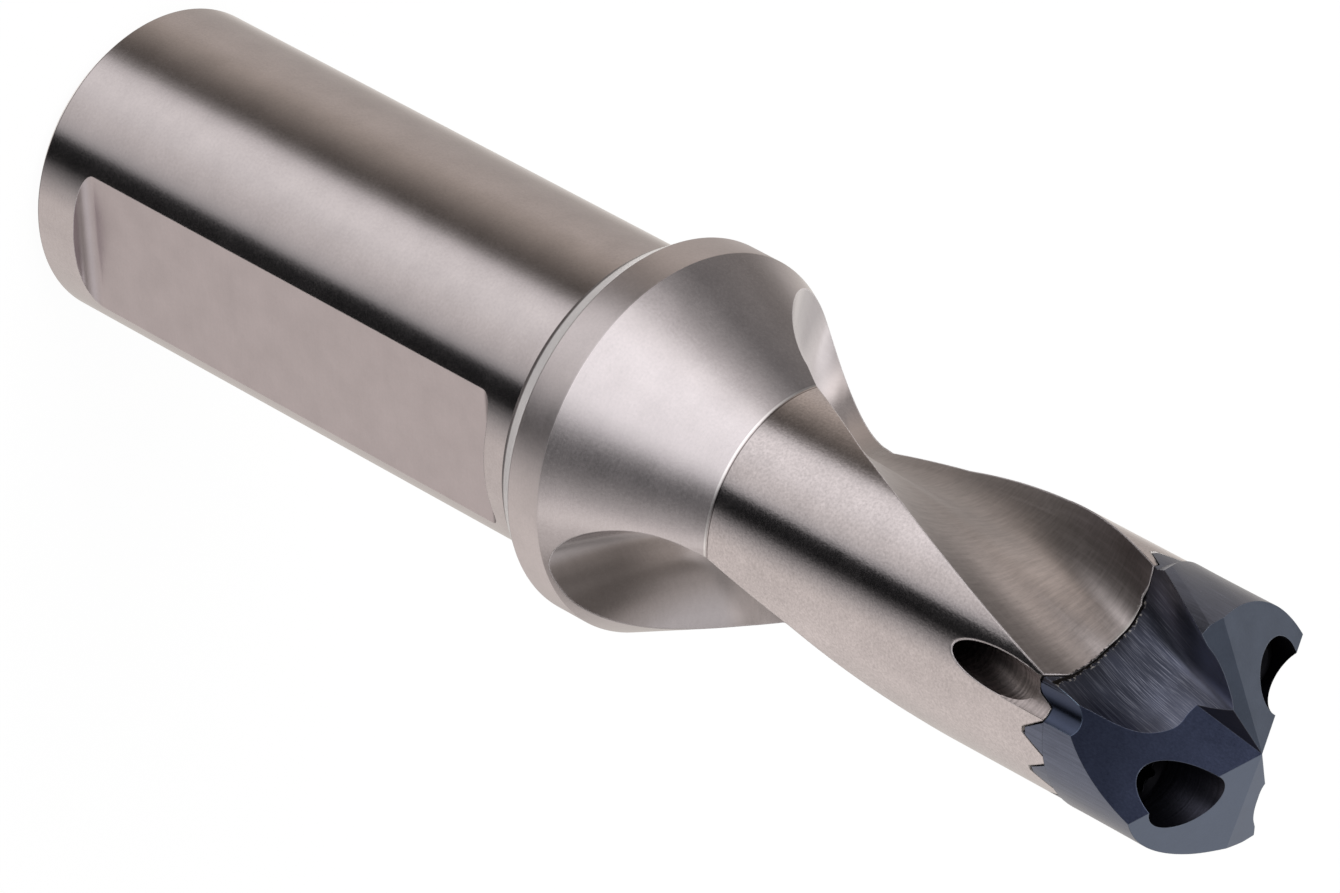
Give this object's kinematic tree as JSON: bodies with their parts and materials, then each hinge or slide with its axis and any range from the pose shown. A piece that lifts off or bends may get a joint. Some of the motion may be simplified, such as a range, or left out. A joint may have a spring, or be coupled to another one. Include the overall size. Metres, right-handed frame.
{
  "type": "exchangeable-head twist drill",
  "caption": "Twist drill with a coated cutting head screwed to a fluted steel body through a toothed coupling, with a collar and a flatted shank.",
  "frame": {"origin": "centre of the shank's rear end face", "axes": "+Z along the drill's axis towards the point, -Y out of the clamping flat"},
  "size_m": [0.0302, 0.0303, 0.1184],
  "materials": {
    "tool_steel": "satin ground steel with a fine blasted grain, flutes smoother",
    "coated_carbide": "dark blue-grey hard coating over ground faces",
    "screw_steel": "dark oiled steel"
  },
  "bodies": {
    "root": {"drill_body": "tool_steel", "drill_head": "coated_carbide", "clamp_screw_left": "screw_steel", "clamp_screw_right": "screw_steel"}
  },
  "joints": []
}
